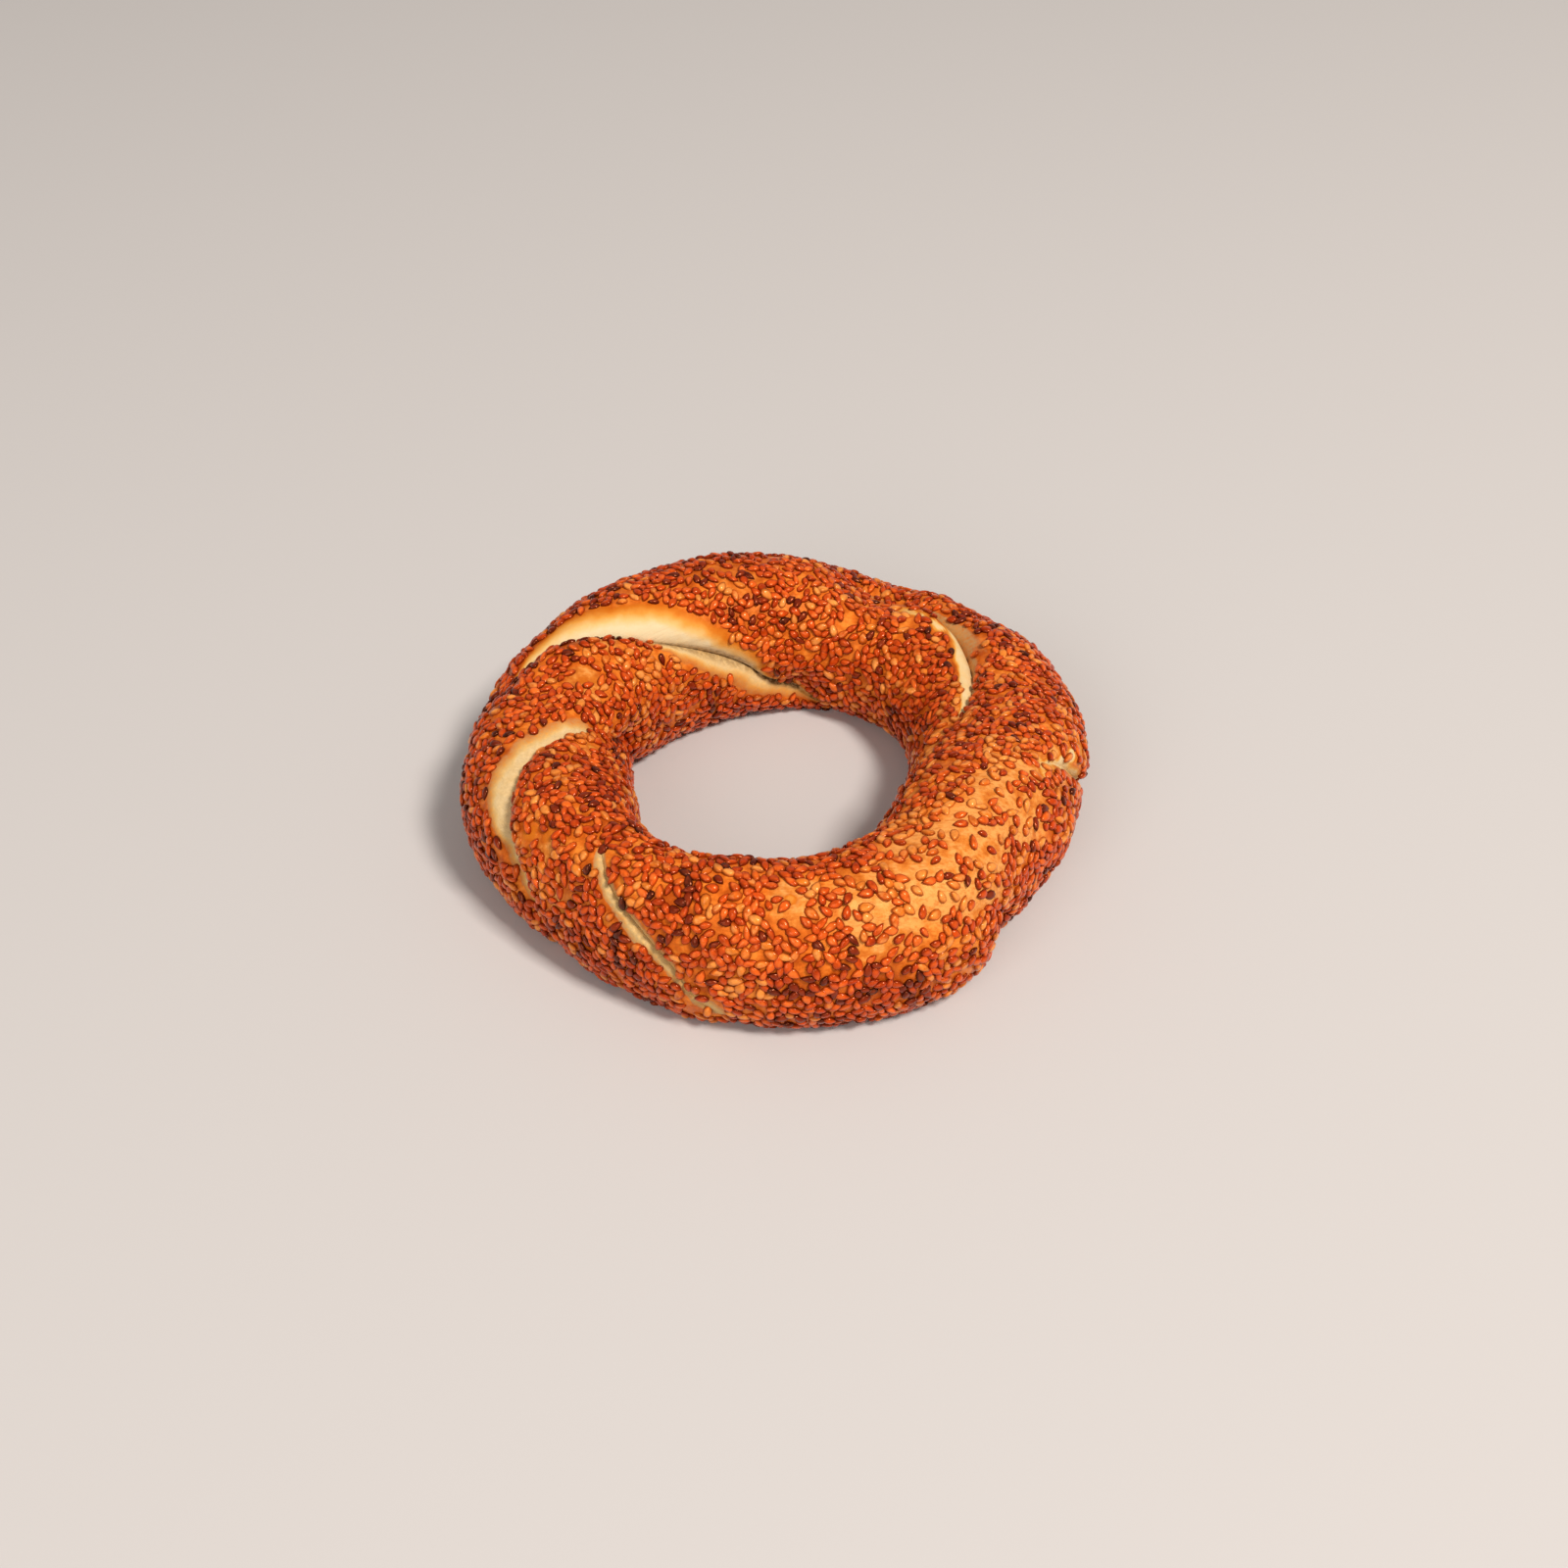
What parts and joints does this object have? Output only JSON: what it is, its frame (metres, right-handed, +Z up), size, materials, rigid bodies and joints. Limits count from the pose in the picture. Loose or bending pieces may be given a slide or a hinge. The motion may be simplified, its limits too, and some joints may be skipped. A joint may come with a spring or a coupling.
{
  "type": "simit",
  "caption": "Twisted ring of crusty bread covered in sesame seeds, with burst seams that show pale crumb.",
  "frame": {"origin": "middle of the ring's box, on the surface that it rests on", "axes": "+Z up through the hole; -Y towards the viewer of the picture, +X to the viewer's right"},
  "size_m": [0.1454, 0.1446, 0.0384],
  "materials": {
    "crust": "baked bread crust, golden orange to red-brown, satin, with toasted sesame seeds"
  },
  "bodies": {
    "root": {"simit": "crust"}
  },
  "joints": []
}
